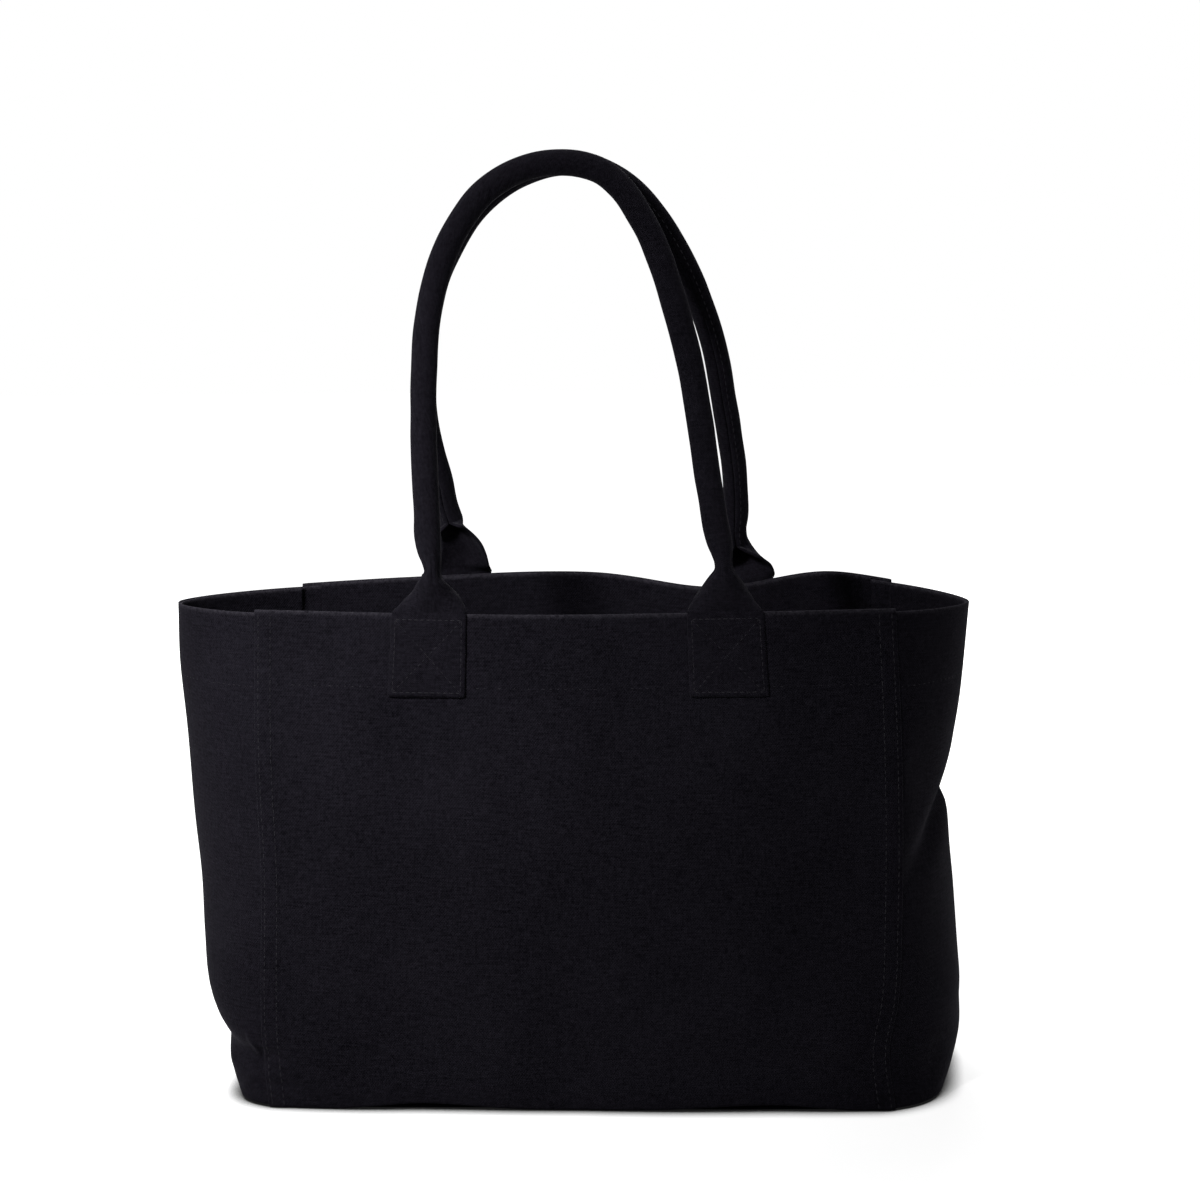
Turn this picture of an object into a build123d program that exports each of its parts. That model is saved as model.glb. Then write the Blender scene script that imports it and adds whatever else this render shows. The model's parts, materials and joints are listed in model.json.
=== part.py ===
from build123d import *

import os
from math import asin, atan2, cos, degrees, hypot, sin

# Tote bag of black cotton canvas, standing open, with two rolled handles.
# X runs along the front panel, Y from the front of the bag to its back and Z up.
# The origin is the middle of the base, on the surface that the bag stands on.

# Body sizes
panel_width = 410
bag_height = 325
base_depth = 165
rim_depth = 140
canvas = 1.2
seam_allowance = 13
facing_depth = 50
facing_clearance = 0.7
sewn_gap = 0.05

# Side gussets: each folds outward in a blunt V, whose ridge stands this far out from the panel edges
gusset_drop = 2
ridge_at_base = 20
ridge_low = 44
ridge_low_height = 60
ridge_at_rim = 56
knuckle_setback = 15
knuckle_half = 38

# Handle straps: flat tabs sewn to the panels, and the rolled loop above them
tab_width = 50
tab_height = 52
tab_spacing = 191
strap_thickness = 2.4
fold_gap = 0.8
handle_diameter = 17
handle_wall = 2.2
core_clearance = 0.2
core_setback = 3
core_sides = 6
tube_sides = 12
handle_rise = 290
crown_shift = -12
left_brow_reach = 53
left_brow_drop = 25
front_left_shoulder_spread = 1
front_left_shoulder_drop = 109
back_left_shoulder_spread = 12
back_left_shoulder_drop = 121
front_brow_reach = 42
front_shoulder_inset = 37.5
back_brow_reach = 46
back_shoulder_inset = 25
right_brow_drop = 21
right_shoulder_drop = 75
handles_apart = 0.3

# Neck between a flat tab and the tube: how the strap narrows, where it is pinched and where the tube starts
flare_height = 13.5
flare_width = 26
flare_depth = 4.3
pinch_height = 27
pinch_width = 9.5
pinch_depth = 11
neck_height = 42
neck_tuck = 1.5
neck_step = 0.8
edge_round = 0.4

# The panels lean in from the base to the rim
panel_setback = (base_depth - rim_depth) / 2
panel_lean = atan2(panel_setback, bag_height)
panel_length = hypot(bag_height, panel_setback)
base_top = canvas
allowance_top = base_top + sewn_gap + canvas
gusset_foot = allowance_top + sewn_gap
gusset_rim = bag_height - gusset_drop

# Outer face of the front panel, with its Y axis up the cloth
front_face = Plane(
    origin=(0, -base_depth / 2, 0),
    x_dir=(1, 0, 0),
    z_dir=(0, -cos(panel_lean), sin(panel_lean)),
)

# The strap folds over the outer top edge of its tabs, and leans in until the two handles nearly meet
fold_line = front_face.from_local_coords((0, panel_length + fold_gap, strap_thickness))
crown_reach = -fold_line.Y - strap_thickness / 2 - (handle_diameter + handles_apart) / 2
handle_lean = asin(crown_reach / handle_rise)
strap_face = Plane(
    origin=fold_line,
    x_dir=(1, 0, 0),
    z_dir=(0, -cos(handle_lean), sin(handle_lean)),
)
strap_middle = strap_face.offset(-strap_thickness / 2)


def half_depth(z):
    """Distance from the middle of the bag to the inner face of a panel at height z."""
    return base_depth / 2 - panel_setback * z / bag_height - canvas / cos(panel_lean)


def ridge_reach(z):
    """Distance of the gusset's ridge from the panel edge at height z."""
    if z < ridge_low_height:
        share = (z - gusset_foot) / (ridge_low_height - gusset_foot)
        return ridge_at_base + share * (ridge_low - ridge_at_base)
    share = (z - ridge_low_height) / (gusset_rim - ridge_low_height)
    return ridge_low + share * (ridge_at_rim - ridge_low)


def gusset_corner(z):
    """Inner corner of the left gusset at height z, where its cloth turns in behind the front panel."""
    return Vector(-panel_width / 2, -half_depth(z) + sewn_gap + canvas)


def gusset_ridge(z):
    """Inner fold of the left gusset's ridge at height z."""
    return Vector(-panel_width / 2 - ridge_reach(z), 0)


def gusset_knuckle(z):
    """Softer fold of the left gusset, in front of its ridge at height z."""
    return gusset_ridge(z) + Vector(knuckle_setback, -knuckle_half)


def flipped(point):
    """The same point behind the middle of the bag."""
    return Vector(point.X, -point.Y)


def save(part, name):
    """Labels a finished piece and writes it."""
    part.label = name
    export_step(part, f"parts/{name}.step")


os.makedirs("parts", exist_ok=True)

# Front panel: one sheet that turns in along the bottom and lies on the base
with BuildPart() as front_panel:
    with BuildSketch(Plane.YZ):
        with BuildLine():
            turn_in = -half_depth(allowance_top)
            Polyline(
                (-half_depth(bag_height), bag_height),
                (turn_in, allowance_top),
                (turn_in + seam_allowance, allowance_top),
            )
            offset(amount=canvas, side=Side.RIGHT)
        make_face()
    extrude(amount=panel_width / 2, both=True)
save(front_panel.part, "front_panel")

with BuildPart() as back_panel:
    mirror(front_panel.part, about=Plane.XZ)
save(back_panel.part, "back_panel")

# Base panel: flat, with its short sides following the feet of the gussets
with BuildPart() as base_panel:
    with BuildSketch():
        with BuildLine():
            corner = Vector(-panel_width / 2, -half_depth(allowance_top) - canvas)
            knuckle = gusset_knuckle(gusset_foot) - Vector(canvas, 0)
            ridge = gusset_ridge(gusset_foot) - Vector(canvas, 0)
            left_end = [corner, knuckle, ridge, flipped(knuckle), flipped(corner)]
            Polyline(*left_end, *[-point for point in left_end], close=True)
        make_face()
    extrude(amount=canvas)
save(base_panel.part, "base_panel")

# Left gusset: a V-folded sheet with allowances behind both panels and along the base
with BuildPart() as left_gusset:
    for z in (gusset_foot, ridge_low_height, gusset_rim):
        with BuildSketch(Plane.XY.offset(z)):
            with BuildLine():
                corner = gusset_corner(z)
                knuckle = gusset_knuckle(z)
                half = [corner + Vector(seam_allowance, 0), corner, knuckle]
                Polyline(*half, gusset_ridge(z), *[flipped(point) for point in reversed(half)])
                offset(amount=canvas, side=Side.LEFT, kind=Kind.INTERSECTION)
            make_face()
    loft(ruled=True)
    with BuildSketch(Plane.XY.offset(gusset_foot)):
        with BuildLine():
            corner = gusset_corner(gusset_foot)
            knuckle = gusset_knuckle(gusset_foot)
            leg = (knuckle - corner) * (seam_allowance / (knuckle.Y - corner.Y))
            outward = Vector(-canvas, 0)
            inner_end = corner + Vector(seam_allowance, seam_allowance)
            half = [inner_end, corner + leg + outward, knuckle + outward]
            ridge = gusset_ridge(gusset_foot) + outward
            Polyline(*half, ridge, *[flipped(point) for point in reversed(half)], close=True)
        make_face()
    extrude(amount=-canvas)
save(left_gusset.part, "left_gusset")

with BuildPart() as right_gusset:
    mirror(left_gusset.part, about=Plane.YZ)
save(right_gusset.part, "right_gusset")

# Rim facings: strips sewn inside the rim, flat on the panels and V-folded in the gussets
with BuildPart() as front_facing:
    with BuildSketch(front_face.offset(-canvas - sewn_gap)):
        with Locations((0, panel_length - facing_depth / 2)):
            Rectangle(panel_width - 2 * (seam_allowance + sewn_gap), facing_depth)
    extrude(amount=-canvas)
save(front_facing.part, "front_rim_facing")

with BuildPart() as back_facing:
    mirror(front_facing.part, about=Plane.XZ)
save(back_facing.part, "back_rim_facing")

with BuildPart() as left_facing:
    for z in (gusset_rim - facing_depth, gusset_rim):
        with BuildSketch(Plane.XY.offset(z)):
            with BuildLine():
                inset = canvas + facing_clearance
                half = [point + Vector(inset, inset) for point in (gusset_corner(z), gusset_knuckle(z))]
                ridge = gusset_ridge(z) + Vector(inset, 0)
                Polyline(*half, ridge, *[flipped(point) for point in reversed(half)])
                offset(amount=canvas, side=Side.LEFT, kind=Kind.INTERSECTION)
            make_face()
    loft(ruled=True)
save(left_facing.part, "left_rim_facing")

with BuildPart() as right_facing:
    mirror(left_facing.part, about=Plane.YZ)
save(right_facing.part, "right_rim_facing")

# Handle tabs: the flat ends of the straps, on the outside of the panels and flush with the rim
for side, tab_x in (("left", -tab_spacing / 2), ("right", tab_spacing / 2)):
    with BuildPart() as front_tab:
        with BuildSketch(front_face):
            with Locations((tab_x, panel_length - tab_height / 2)):
                Rectangle(tab_width, tab_height)
        extrude(amount=strap_thickness)
    save(front_tab.part, f"front_{side}_tab")

    with BuildPart() as back_tab:
        mirror(front_tab.part, about=Plane.XZ)
    save(back_tab.part, f"back_{side}_tab")

# How the strap narrows between a flat tab and the tube: height, width and depth of each stage
neck_stages = (
    (0, tab_width, strap_thickness),
    (flare_height, flare_width, flare_depth),
    (pinch_height, pinch_width, pinch_depth),
)
neck_top = handle_diameter - 2 * neck_step
core_radius = handle_diameter / 2 - handle_wall - core_clearance


def loop_route(left_spread, left_drop, right_reach, right_inset):
    """Route of a rolled handle above its two necks, in tangent arcs down from a crown left of the middle."""
    foot = tab_spacing / 2
    crown = Vector(crown_shift, handle_rise)
    left_brow = crown + Vector(-left_brow_reach, -left_brow_drop)
    left_shoulder = Vector(-foot - left_spread, handle_rise - left_drop)
    right_brow = crown + Vector(right_reach, -right_brow_drop)
    right_shoulder = Vector(foot - right_inset, handle_rise - right_shoulder_drop)
    with BuildLine() as route:
        left_arch = TangentArc(crown, left_brow, tangent=(-1, 0))
        left_slope = TangentArc(left_brow, left_shoulder, tangent=left_arch % 1)
        TangentArc(left_shoulder, (-foot, neck_height), tangent=left_slope % 1)
        right_arch = TangentArc(crown, right_brow, tangent=(1, 0))
        right_slope = TangentArc(right_brow, right_shoulder, tangent=right_arch % 1)
        TangentArc(right_shoulder, (foot, neck_height), tangent=right_slope % 1)
    return strap_middle.from_local_coords(route.wires()[0])


def rolled_handle(route):
    """Cover and core along a route over the front panel: the strap flares from each flat tab through a
    pinched neck into a rolled tube, and a soft cord fills the tube short of both necks."""
    inner_route = route.trim(core_setback / route.length, 1 - core_setback / route.length)
    inner_start = Plane(origin=inner_route @ 0, x_dir=(1, 0, 0), z_dir=inner_route % 0)
    with BuildPart() as cover:
        with BuildSketch(Plane(origin=route @ 0, x_dir=(1, 0, 0), z_dir=route % 0)):
            RegularPolygon(handle_diameter / 2, tube_sides)
        sweep(path=route)
        with BuildSketch(inner_start):
            RegularPolygon(core_radius + core_clearance, core_sides)
        sweep(path=inner_route, mode=Mode.SUBTRACT)
        for end, direction in ((0, 1), (1, -1)):
            for height, width, depth in neck_stages:
                stage = strap_middle.from_local_coords(((route @ end).X, height, 0))
                with BuildSketch(Plane(origin=stage, x_dir=(1, 0, 0), z_dir=strap_middle.y_dir)):
                    RectangleRounded(width, depth, edge_round * min(width, depth))
            upward = (route % end) * direction
            with BuildSketch(Plane(origin=route @ end + upward * neck_tuck, x_dir=(1, 0, 0), z_dir=upward)):
                RectangleRounded(neck_top, neck_top, edge_round * neck_top)
            loft(ruled=True)
    with BuildPart() as core:
        with BuildSketch(inner_start):
            RegularPolygon(core_radius, core_sides)
        sweep(path=inner_route)
    return cover.part, core.part


front_route = loop_route(
    front_left_shoulder_spread, front_left_shoulder_drop, front_brow_reach, front_shoulder_inset
)
front_cover, front_core = rolled_handle(front_route)
save(front_cover, "front_handle_cover")
save(front_core, "front_handle_core")

# The back handle is made over the front panel too, along its own route, and then mirrored
back_route = loop_route(
    back_left_shoulder_spread, back_left_shoulder_drop, back_brow_reach, back_shoulder_inset
)
back_pieces = rolled_handle(back_route)
for piece, name in zip(back_pieces, ("back_handle_cover", "back_handle_core")):
    with BuildPart() as mirrored:
        mirror(piece, about=Plane.XZ)
    save(mirrored.part, name)

print("fold line", fold_line)
print("handles lean", degrees(handle_lean), "panels lean", degrees(panel_lean))
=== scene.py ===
import json
from math import atan2, cos, pi, radians, sin
import bpy
import numpy as np
from mathutils import Matrix, Vector


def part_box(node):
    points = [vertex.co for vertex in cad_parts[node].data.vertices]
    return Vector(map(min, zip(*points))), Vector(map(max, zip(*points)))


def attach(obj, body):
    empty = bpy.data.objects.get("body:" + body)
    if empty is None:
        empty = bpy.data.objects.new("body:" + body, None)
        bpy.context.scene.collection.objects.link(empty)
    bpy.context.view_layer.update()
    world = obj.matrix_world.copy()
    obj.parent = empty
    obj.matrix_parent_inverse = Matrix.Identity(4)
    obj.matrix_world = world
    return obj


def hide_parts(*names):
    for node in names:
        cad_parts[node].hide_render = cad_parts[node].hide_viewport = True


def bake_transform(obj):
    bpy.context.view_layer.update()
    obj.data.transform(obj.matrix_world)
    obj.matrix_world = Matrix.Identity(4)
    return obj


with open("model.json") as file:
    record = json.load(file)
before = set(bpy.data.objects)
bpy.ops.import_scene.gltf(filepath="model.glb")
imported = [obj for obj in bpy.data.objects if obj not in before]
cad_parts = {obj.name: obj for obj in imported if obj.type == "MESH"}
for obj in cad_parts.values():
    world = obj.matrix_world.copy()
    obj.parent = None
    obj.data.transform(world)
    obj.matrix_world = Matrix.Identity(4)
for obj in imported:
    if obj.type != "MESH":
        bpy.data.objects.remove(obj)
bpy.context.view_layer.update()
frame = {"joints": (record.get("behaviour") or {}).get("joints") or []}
print("frame loaded")

# Sizes that the frame gives, in metres
panelLow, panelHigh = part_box("front_panel")
tabLow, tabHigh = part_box("front_left_tab")
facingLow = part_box("front_rim_facing")[0]
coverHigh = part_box("front_handle_cover")[1]
foldAt = {joint["child"]: joint["pos_m"] for joint in frame["joints"]}
halfWidth = panelHigh[0]
rimHeight = panelHigh[2]
baseHalf = -panelLow[1]
foldDepth = -foldAt["front_handle"][1]
foldHeight = foldAt["front_handle"][2]
tabHalf = (tabHigh[0] - tabLow[0]) / 2
facingFoot = facingLow[2]

cloth = {
    "thick": 0.0012,
    "gap": 0.00005,  # between sewn layers
    "floorGap": 0.0001,
    "bottomRound": 0.0025,
    "tuck": 0.012,  # how far the walls turn in at the bottom
    "tuckRise": 0.00125,  # their turned-in edges lie on the base panel
    "tuckStart": 0.0003,
    "tuckEnd": 0.0030,
    "allowance": 0.013,
    "wearAndHighlightReach": 0.0008,  # width of the lighter line along the rim: rubbed wear and painted highlight
}
strap = {"thick": 0.0024, "gap": 0.0001, "pressed": 0.0010, "overhang": 0.0018}
tabFoot = tabLow[2] - strap["overhang"]
rimHalf = foldDepth - strap["thick"]


def smoothCurve(stops):
    # a smooth line through (place, value) stops
    places, values = np.array(stops, float).T
    slopes = np.gradient(values, places)

    def value(place):
        place = np.clip(place, places[0], places[-1])
        i = np.clip(np.searchsorted(places, place) - 1, 0, len(places) - 2)
        step = places[i + 1] - places[i]
        f = (place - places[i]) / step
        start = values[i] * (1 + 2 * f) * (1 - f) ** 2 + slopes[i] * step * f * (1 - f) ** 2
        end = values[i + 1] * f * f * (3 - 2 * f) + slopes[i + 1] * step * f * f * (f - 1)
        return start + end

    return value


def ramp(low, high, value):
    share = np.clip((value - low) / (high - low), 0, 1)
    return share * share * (3 - 2 * share)


def softNoise(seed, size=64):
    # smooth noise from -1 to 1 on a seeded grid
    table = np.random.RandomState(seed).uniform(-1, 1, (size, size))

    def value(x, y):
        i = np.floor(x).astype(int)
        j = np.floor(y).astype(int)
        fx = ramp(0, 1, x - i)
        fy = ramp(0, 1, y - j)
        low = table[i % size, j % size] * (1 - fx) + table[(i + 1) % size, j % size] * fx
        high = table[i % size, (j + 1) % size] * (1 - fx) + table[(i + 1) % size, (j + 1) % size] * fx
        return low * (1 - fy) + high * fy

    return value


def unit(vectors):
    return vectors / np.maximum(np.linalg.norm(vectors, axis=-1, keepdims=True), 1e-12)


def lengthsAlong(points, axis=0):
    # metres along each line of points, from 0
    steps = np.linalg.norm(np.diff(points, axis=axis), axis=-1)
    return np.concatenate([np.zeros_like(np.take(steps, [0], axis)), np.cumsum(steps, axis)], axis)


# The walls are laid out by run: metres up the cloth from where its bottom edge starts to turn upwards
def heightAt(run):
    turn = np.clip(run / cloth["bottomRound"], 0, pi / 2)
    height = cloth["floorGap"] + cloth["bottomRound"] * (1 - np.cos(turn))
    height = height + cloth["tuckRise"] * ramp(cloth["tuckStart"], cloth["tuckEnd"], -run)
    height = height + np.maximum(run - cloth["bottomRound"] * pi / 2, 0)
    inset = cloth["bottomRound"] * (1 - np.sin(turn)) + np.maximum(-run, 0)
    return height, inset


def runAt(height):
    return height - cloth["floorGap"] + cloth["bottomRound"] * (pi / 2 - 1)


rimRun = runAt(rimHeight)


# Front and back panels: bowed sheets, wider or narrower along their wavy seams
frontPanel = {
    "side": -1,
    "startEdge": [(0, -0.2035), (0.02, -0.2060), (0.16, -0.2070), (0.23, -0.2095), (0.325, -0.2085)],
    "endEdge": [
        (0, 0.2040), (0.04, 0.2000), (0.07, 0.2055), (0.125, 0.2080), (0.23, 0.2080), (0.325, 0.2040),
    ],
    "rimBow": [
        (-0.21, -0.007), (-0.14, -0.002), (-0.09, 0), (0, 0.004), (0.09, 0), (0.14, -0.002),
        (0.21, -0.007),
    ],
    "baseBow": [
        (-0.21, 0.0105), (-0.16, 0.0130), (-0.10, 0.0115), (0, 0.0115), (0.08, 0.0095), (0.14, 0.006),
        (0.19, 0.003), (0.21, 0.001),
    ],
    "rimRise": [(-0.21, 0), (-0.05, -0.0022), (0.08, -0.0015), (0.21, 0)],
    "lift": [
        (-0.21, 0), (-0.16, 0), (-0.10, 0.004), (-0.05, 0.0008), (0.05, 0.0005), (0.13, 0.004),
        (0.18, 0), (0.21, 0),
    ],
    "belly": 0.006,
    "dimples": (
        {"across": -0.206, "height": 0.032, "wide": 0.010, "tall": 0.007, "depth": 0.0065},
        {"across": -0.196, "height": 0.016, "wide": 0.014, "tall": 0.007, "depth": 0.0020},
        {"across": 0.200, "height": 0.048, "wide": 0.016, "tall": 0.016, "depth": 0.003},
    ),
    "seed": 11,
}
backPanel = {
    "side": 1,
    "startEdge": [(0, -0.2045), (0.15, -0.2065), (0.325, -0.2040)],
    "endEdge": [(0, 0.2045), (0.15, 0.2060), (0.325, 0.2015)],
    "rimBow": [
        (-0.21, -0.007), (-0.165, 0.007), (-0.08, -0.007), (-0.03, 0.007), (0.04, 0.012), (0.10, 0.001),
        (0.21, -0.007),
    ],
    "baseBow": [(-0.21, 0), (0, 0.004), (0.21, 0)],
    "rimRise": [
        (-0.21, -0.0005), (-0.165, 0.0038), (-0.08, -0.0045), (0, 0.0030), (0.05, 0.0035),
        (0.13, 0.002), (0.21, -0.002),
    ],
    "lift": [(-0.21, 0), (-0.08, 0.001), (0.05, 0), (0.21, 0)],
    "belly": 0.006,
    "dimples": (
        {"across": -0.203, "height": 0.036, "wide": 0.014, "tall": 0.012, "depth": 0.003},
        {"across": 0.203, "height": 0.028, "wide": 0.012, "tall": 0.010, "depth": 0.0035},
    ),
    "seed": 23,
}
drape = {
    "ripples": [(0.140, 0.0022), (0.055, 0.0006), (0.022, 0.00018)],  # the cloth's waves: size, height
    "rippleTall": 1.6,  # the waves are longer up the cloth than across it
    "rippleSide": 0.35,  # share of their height beside a panel's seams
    "rippleRim": (0.8, 0.6),  # from this share of the height up they fade by this much
    "panelPlace": (7, 3),  # where each wall reads its noise
    "gussetPlace": (5, 9),
    "gussetSpan": 0.15,
    "bellyLow": 0.8,  # below 1, the belly hangs lower than the middle
    "liftFade": 0.02,
    "seamSwell": 0.0004,  # extra layers along the seams
    "seamReach": 0.0125,
    "seamStart": 0.75,  # share of that reach where the swelling starts to fade
    "seamEdge": 0.0006,  # the last few millimetres are sewn down
    "seamEdgeReach": 0.004,
    "pucker": 0.00015,
    "puckerStep": 0.0094,
    "settleFade": (0.04, 0.03, 0.02),  # share from the seams, and metres from the foot and the rim
}
settled = {}  # how far the cloth simulation moved each wall, filled in below


def settledBy(name, share, run):
    # smooth reading of a wall's field, faded out at its edges
    if name not in settled:
        return 0
    field = settled[name]
    rows, cols = field.shape[:2]
    row = np.clip(run / rimRun, 0, 1) * (rows - 1)
    col = np.clip(share, 0, 1) * (cols - 1)
    low = np.floor(row).astype(int)
    left = np.floor(col).astype(int)
    total = 0
    for i, rowWeight in enumerate(splineWeights(row - low)):
        for j, colWeight in enumerate(splineWeights(col - left)):
            near = field[np.clip(low + i - 1, 0, rows - 1), np.clip(left + j - 1, 0, cols - 1)]
            total = total + near * (rowWeight * colWeight)[..., None]
    seam, foot, rim = drape["settleFade"]
    fade = ramp(0, seam, np.minimum(share, 1 - share)) * ramp(0, foot, run) * ramp(0, rim, rimRun - run)
    return total * fade[..., None]


def splineWeights(t):
    inner = 3 * t ** 3 - 6 * t ** 2 + 4
    outer = -3 * t ** 3 + 3 * t ** 2 + 3 * t + 1
    return (1 - t) ** 3 / 6, inner / 6, outer / 6, t ** 3 / 6


class PanelShape:
    steps = (0.0005, 0.0002)

    def __init__(self, name, panel):
        self.name = name
        self.panel = panel
        lists = {key: value for key, value in panel.items() if isinstance(value, list)}
        self.curves = {key: smoothCurve(value) for key, value in lists.items()}
        self.noise = softNoise(panel["seed"])

    def edges(self, run):
        height = heightAt(run)[0]
        return self.curves["startEdge"](height), self.curves["endEdge"](height)

    def shareAt(self, across, run):
        start, end = self.edges(run)
        return (across - start) / (end - start)

    def __call__(self, share, run):
        share, run = np.broadcast_arrays(np.asarray(share, float), np.asarray(run, float))
        height, inset = heightAt(run)
        up = np.maximum(height / rimHeight, 0)
        start, end = self.edges(run)
        across = start + (end - start) * share
        middle = np.clip(1 - (2 * share - 1) ** 2, 0, 1)
        depth = baseHalf + (rimHalf - baseHalf) * up
        depth = depth + self.curves["baseBow"](across) * (1 - up) + self.curves["rimBow"](across) * up
        depth = depth + self.panel["belly"] * np.sin(pi * up ** drape["bellyLow"]) * middle
        sideways, upward = drape["panelPlace"]
        fadeFrom, fadeBy = drape["rippleRim"]
        loose = drape["rippleSide"] + (1 - drape["rippleSide"]) * middle
        for size, rise in drape["ripples"]:
            wave = self.noise(across / size + sideways, height / (drape["rippleTall"] * size) + upward)
            depth = depth + rise * wave * loose * (1 - fadeBy * ramp(fadeFrom, 1, up))
        fromSeam = np.minimum(across - start, end - across)
        swell = 1 - ramp(drape["seamStart"] * drape["seamReach"], drape["seamReach"], fromSeam)
        pucker = drape["pucker"] * np.sin(2 * pi * height / drape["puckerStep"])
        depth = depth + swell * (drape["seamSwell"] + pucker)
        depth = depth - drape["seamEdge"] * (1 - ramp(0, drape["seamEdgeReach"], fromSeam))
        for dimple in self.panel["dimples"]:
            sideways = (across - dimple["across"]) / dimple["wide"]
            upward = (height - dimple["height"]) / dimple["tall"]
            depth = depth - dimple["depth"] * np.exp(-sideways ** 2 - upward ** 2)
        rise = self.curves["rimRise"](across) * up ** 2
        rise = rise + np.maximum(self.curves["lift"](across), 0) * np.exp(-height / drape["liftFade"])
        side = self.panel["side"]
        point = np.stack([-side * across, side * (depth - inset), height + rise], -1)
        return point + settledBy(self.name, share, run)


def faceAndNormal(shape, across, up):
    acrossStep, upStep = shape.steps
    point = shape(across, up)
    alongAcross = shape(across + acrossStep, up) - shape(across - acrossStep, up)
    alongUp = shape(across, up + upStep) - shape(across, up - upStep)
    return point, unit(np.cross(alongAcross, alongUp))


def behind(shape, share, run):
    # a point on the cloth that lies against a panel's inner face
    point, normal = faceAndNormal(shape, share, run)
    return point - normal * (cloth["thick"] + cloth["gap"])


# Side gussets: they swell outward between the panels, with a soft ridge down the middle
leftGusset = {
    "side": -1,
    "reach": [
        (0, 0.0255), (0.021, 0.0325), (0.041, 0.0385), (0.068, 0.0495), (0.10, 0.0538), (0.135, 0.0560),
        (0.17, 0.0593), (0.24, 0.063), (0.288, 0.068), (0.325, 0.069),
    ],
    "drop": 0.001,
    "ridge": 1.7,
    "foot": 8.0,  # the bulge is boxier near the base
    "round": 0.85,
    "dents": (
        {"height": 0.052, "slope": 0.022, "spread": 0.009, "depth": 0.005, "at": 0.85, "wide": 0.45},
    ),
    # small folds beside the front seam: metres out from it and up, size, lean in degrees, and depth
    "puckers": (
        {"out": 0.0080, "height": 0.039, "wide": 0.0025, "tall": 0.009, "lean": -22, "depth": -0.0028},
        {"out": 0.0030, "height": 0.028, "wide": 0.0050, "tall": 0.005, "lean": 0, "depth": 0.0044},
        {"out": 0.0110, "height": 0.0175, "wide": 0.0025, "tall": 0.008, "lean": 57, "depth": -0.0025},
    ),
    "seed": 37,
}
rightGusset = {
    "side": 1,
    "reach": [
        (0, 0.0335), (0.0135, 0.0410), (0.03, 0.0468), (0.057, 0.0455), (0.091, 0.0415), (0.133, 0.038),
        (0.165, 0.035), (0.2, 0.0345), (0.229, 0.038), (0.254, 0.0425), (0.288, 0.047), (0.325, 0.0515),
    ],
    "drop": 0.003,
    "ridge": 1.6,
    "foot": 5.0,
    "round": 0.85,
    "dents": (
        {"height": 0.204, "slope": 0.05, "spread": 0.013, "depth": 0.007, "at": 0.4, "wide": 2.0},
        {"height": 0.034, "slope": 0.010, "spread": 0.015, "depth": 0.0075, "at": 0.12, "wide": 0.20},
    ),
    "puckers": (),
    "seed": 41,
}
gussetForm = {
    "footFade": 0.045,  # how high the boxy foot shows
    "flankFade": 0.08,
    "dentEdge": 1.4,  # dents fade where the bulge runs out
    "foldEdge": 0.003,  # and small folds this near the seam
}


class GussetShape:
    steps = (0.001, 0.0002)

    def __init__(self, name, gusset, before, after):
        self.name = name
        self.gusset = gusset
        self.before = before
        self.after = after
        self.reach = smoothCurve(gusset["reach"])
        self.noise = softNoise(gusset["seed"])

    # turn goes from -1 to 0 behind the panel before, to 1 round the gusset, to 2 behind the panel after
    def __call__(self, turn, run):
        turn, run = np.broadcast_arrays(np.asarray(turn, float), np.asarray(run, float))
        tuckIn = cloth["allowance"] / (2 * halfWidth)
        first = behind(self.before, 1 + np.minimum(turn, 0) * tuckIn, run)
        last = behind(self.after, np.maximum(turn - 1, 0) * tuckIn, run)
        share = (1 - np.cos(pi * np.clip(turn, 0, 1))) / 2
        lean = np.abs(2 * share - 1)
        height, inset = heightAt(run)
        boxy = np.exp(-height / gussetForm["footFade"])
        power = self.gusset["ridge"] * (1 - boxy) + self.gusset["foot"] * boxy
        bulge = (1 - lean ** power) ** self.gusset["round"]
        up = np.clip(height / rimHeight, 0, 1)
        out = (self.reach(height) - inset) * bulge
        fromSeam = out
        sink = 0
        for dent in self.gusset["dents"]:
            place = (height - dent["height"] + dent["slope"] * lean) / dent["spread"]
            near = (share - dent["at"]) / dent["wide"]
            hold = np.minimum(gussetForm["dentEdge"] * bulge, 1)
            sink = sink + dent["depth"] * np.exp(-place ** 2 - near ** 2) * hold
        sideways, upward = drape["gussetPlace"]
        for size, rise in drape["ripples"]:
            along = share * drape["gussetSpan"] / size + sideways
            wave = self.noise(along, height / (drape["rippleTall"] * size) + upward)
            out = out + rise * wave * bulge
        point = first * (1 - share)[..., None] + last * share[..., None]
        # low down, the parts by the seams face the front and the back
        flank = lean ** 2 * np.exp(-height / gussetForm["flankFade"])
        for pucker in self.gusset["puckers"]:
            tilt = radians(pucker["lean"])
            right, above = fromSeam - pucker["out"], height - pucker["height"]
            wide = (right * cos(tilt) + above * sin(tilt)) / pucker["wide"]
            tall = (above * cos(tilt) - right * sin(tilt)) / pucker["tall"]
            fold = pucker["depth"] * np.exp(-wide ** 2 - tall ** 2)
            fold = fold * ramp(0, gussetForm["foldEdge"], fromSeam)
            point[..., 1] += np.where(point[..., 1] < 0, fold, 0)
        point[..., 0] += self.gusset["side"] * (out - sink * (1 - flank))
        point[..., 1] -= np.sign(point[..., 1]) * sink * flank
        point[..., 2] -= self.gusset["drop"] * bulge * up ** 4
        return point + settledBy(self.name, turn, run)


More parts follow.
